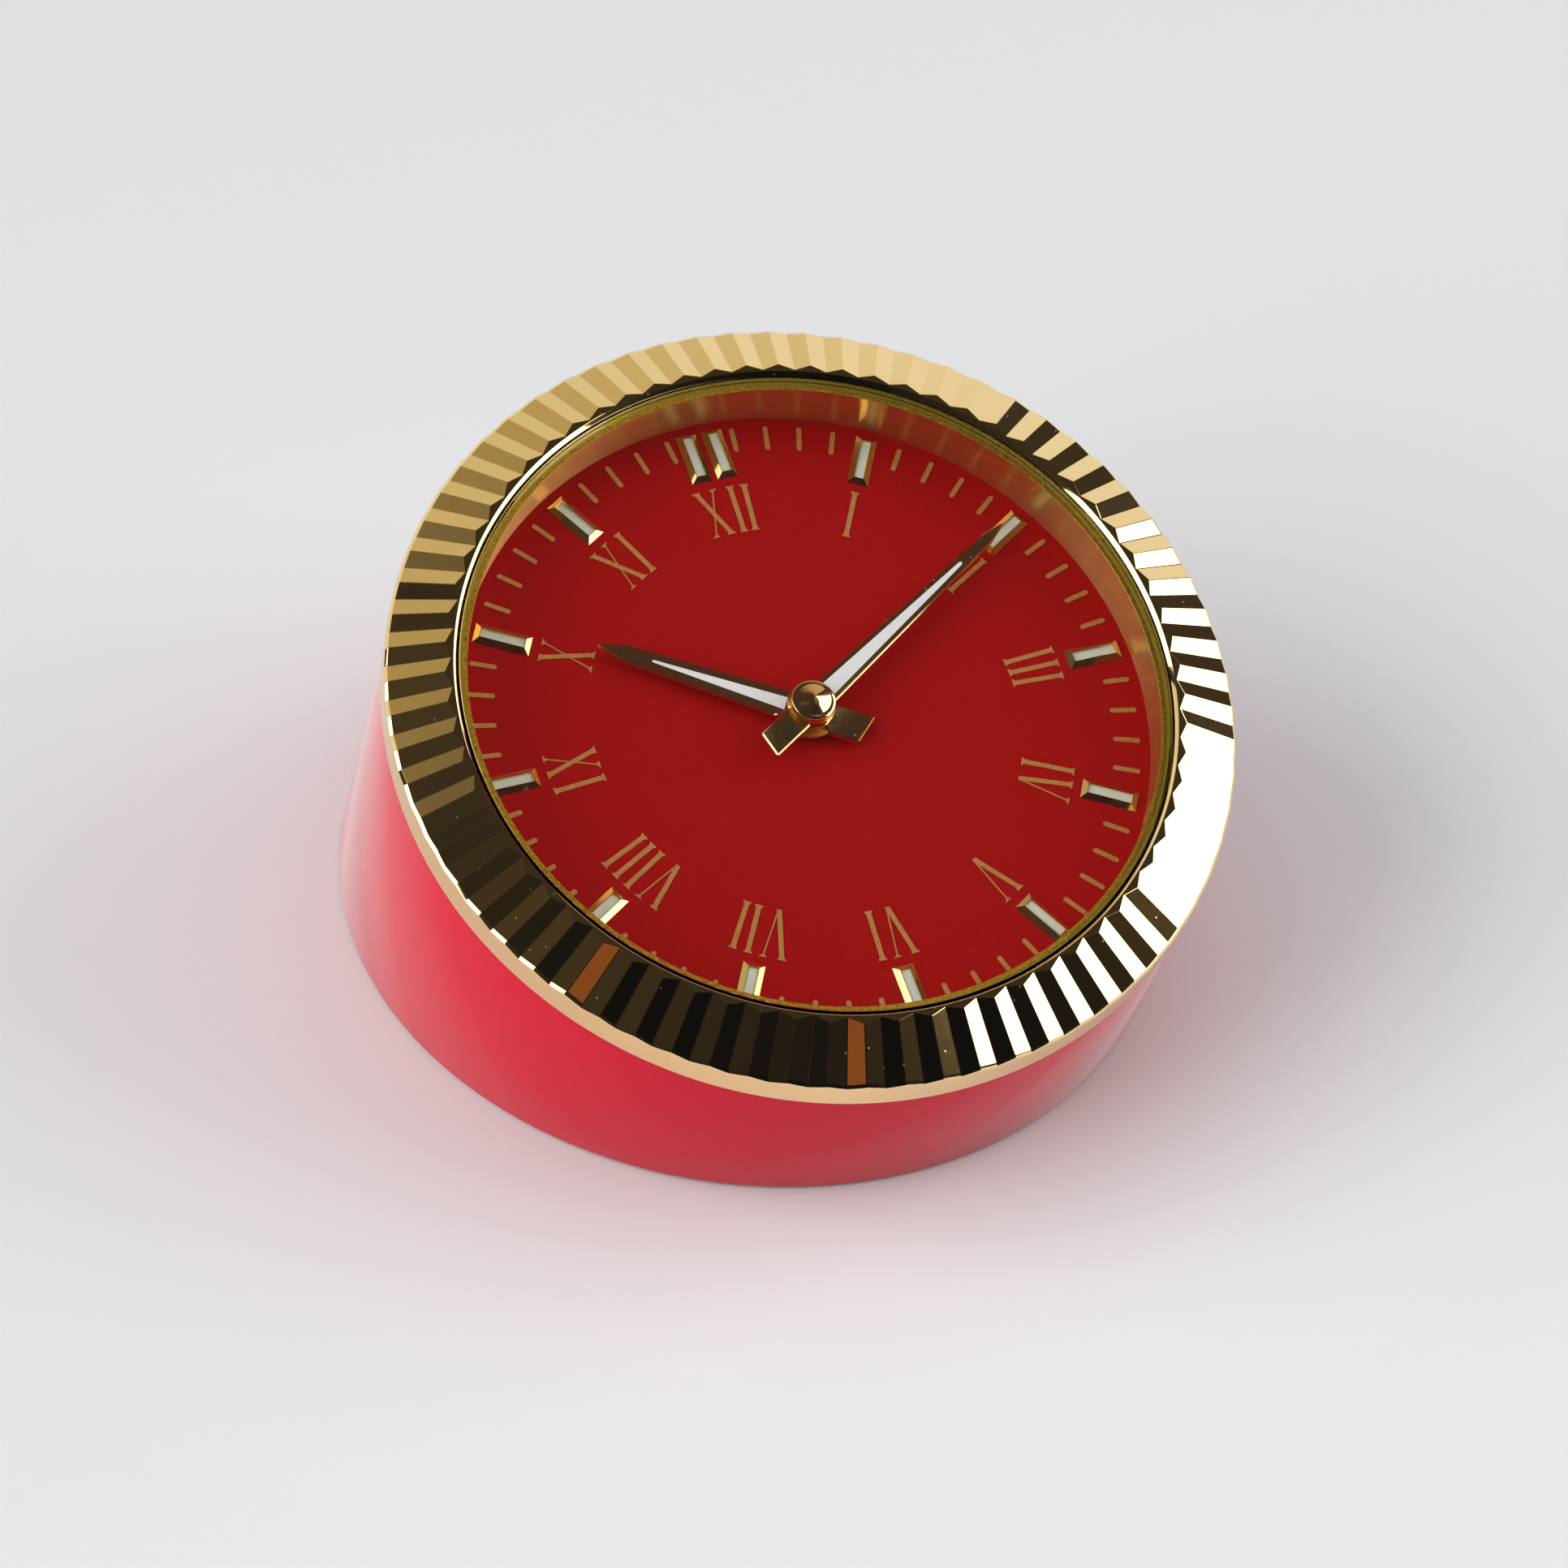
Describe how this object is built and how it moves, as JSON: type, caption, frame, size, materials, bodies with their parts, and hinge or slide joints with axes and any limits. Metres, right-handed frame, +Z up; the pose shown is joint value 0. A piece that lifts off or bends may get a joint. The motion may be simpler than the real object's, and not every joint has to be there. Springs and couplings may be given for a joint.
{
  "type": "desk clock",
  "caption": "Desk clock: red drum cut at a slant so the dial leans back, fluted gold bezel, red dial with gold numerals, hands, quartz movement and twist-off foot cover.",
  "frame": {"origin": "middle of the part's bounding box, at the table", "axes": "+X towards 3 o'clock, +Y towards the back (12 o'clock side), +Z up"},
  "size_m": [0.092, 0.1059, 0.0555],
  "materials": {
    "red_enamel": "satin",
    "gold_polished": "polished",
    "clear_glass": "clear",
    "gasket_rubber": "satin",
    "gold_brushed": "brushed",
    "dial_red": "satin lacquer",
    "gold_print": "satin",
    "pale_lacquer": "satin",
    "white_lacquer": "satin",
    "ivory_plastic": "matte",
    "screw_steel": "satin",
    "spring_steel": "satin",
    "battery_jacket": "gloss",
    "board_green": "matte",
    "black_plastic": "matte",
    "copper_wire": "enamelled",
    "foot_rubber": "matte",
    "wheel_brass": "satin",
    "white_plastic": "matte",
    "rotor_black": "matte"
  },
  "bodies": {
    "clock": {"case_body": "red_enamel", "bezel": "gold_polished", "crystal": "clear_glass", "crystal_gasket": "gasket_rubber", "inner_ring": "gold_brushed", "dial_plate": "dial_red", "minute_track": "gold_print", "roman_numerals": "gold_print", "baton_frames": "gold_polished", "baton_inlays": "pale_lacquer", "dial_carrier": "ivory_plastic", "carrier_screws": "screw_steel", "housing_front": "ivory_plastic", "housing_back": "ivory_plastic", "housing_screws": "screw_steel", "movement_screws": "screw_steel", "train_plate": "ivory_plastic", "train_screws": "screw_steel", "battery": "battery_jacket", "positive_contact": "spring_steel", "negative_contact": "spring_steel", "circuit_board": "board_green", "quartz_can": "spring_steel", "ic_chip": "black_plastic", "coil_bobbin": "ivory_plastic", "coil_winding": "copper_wire", "stator": "spring_steel", "base_plate": "black_plastic", "base_screws": "screw_steel", "foot_ring": "foot_rubber"},
    "hour": {"hour_hand": "gold_polished", "hour_hand_inlay": "white_lacquer", "hour_wheel": "wheel_brass"},
    "minute": {"minute_hand": "gold_polished", "minute_hand_inlay": "white_lacquer", "hub_cap": "gold_polished", "minute_arbor": "screw_steel"},
    "motion_wheel": {"minute_wheel": "wheel_brass", "setting_knob": "black_plastic"},
    "centre": {"centre_wheel": "wheel_brass"},
    "third": {"third_wheel": "wheel_brass"},
    "second": {"second_wheel": "white_plastic"},
    "rotor": {"rotor": "rotor_black"},
    "cover": {"base_cover": "black_plastic"}
  },
  "joints": [
    {"name": "setting_spin", "type": "hinge", "parent": "clock", "child": "motion_wheel", "pos_m": [0.012, -0.00794, 0.03409], "axis": [0, -0.342, 0.9397], "continuous": true},
    {"name": "minute_spin", "type": "hinge", "parent": "clock", "child": "minute", "pos_m": [0, -0.00794, 0.03409], "axis": [0, -0.342, 0.9397], "continuous": true},
    {"name": "hour_spin", "type": "hinge", "parent": "clock", "child": "hour", "pos_m": [0, -0.00794, 0.03409], "axis": [0, -0.342, 0.9397], "continuous": true},
    {"name": "second_spin", "type": "hinge", "parent": "clock", "child": "second", "pos_m": [-0.00877, -0.01776, 0.01775], "axis": [0, -0.342, 0.9397], "continuous": true},
    {"name": "rotor_spin", "type": "hinge", "parent": "clock", "child": "rotor", "pos_m": [0.00039, -0.02089, 0.01661], "axis": [0, -0.342, 0.9397], "continuous": true},
    {"name": "third_spin", "type": "hinge", "parent": "clock", "child": "third", "pos_m": [-0.00877, -0.00928, 0.02296], "axis": [0, -0.342, 0.9397], "continuous": true},
    {"name": "centre_spin", "type": "hinge", "parent": "clock", "child": "centre", "pos_m": [0, -0.00486, 0.02563], "axis": [0, -0.342, 0.9397], "continuous": true},
    {"name": "cover_turn", "type": "hinge", "parent": "clock", "child": "cover", "pos_m": [0, 0.00432, 0.001], "axis": [0, 0, -1], "range_deg": [0, 25]}
  ],
  "couplings": [
    {"joint": "minute_spin", "follows": "setting_spin", "ratio": -3},
    {"joint": "hour_spin", "follows": "setting_spin", "ratio": -0.25},
    {"joint": "rotor_spin", "follows": "second_spin", "ratio": -12},
    {"joint": "third_spin", "follows": "second_spin", "ratio": -0.083333},
    {"joint": "centre_spin", "follows": "second_spin", "ratio": 0.0066667}
  ]
}
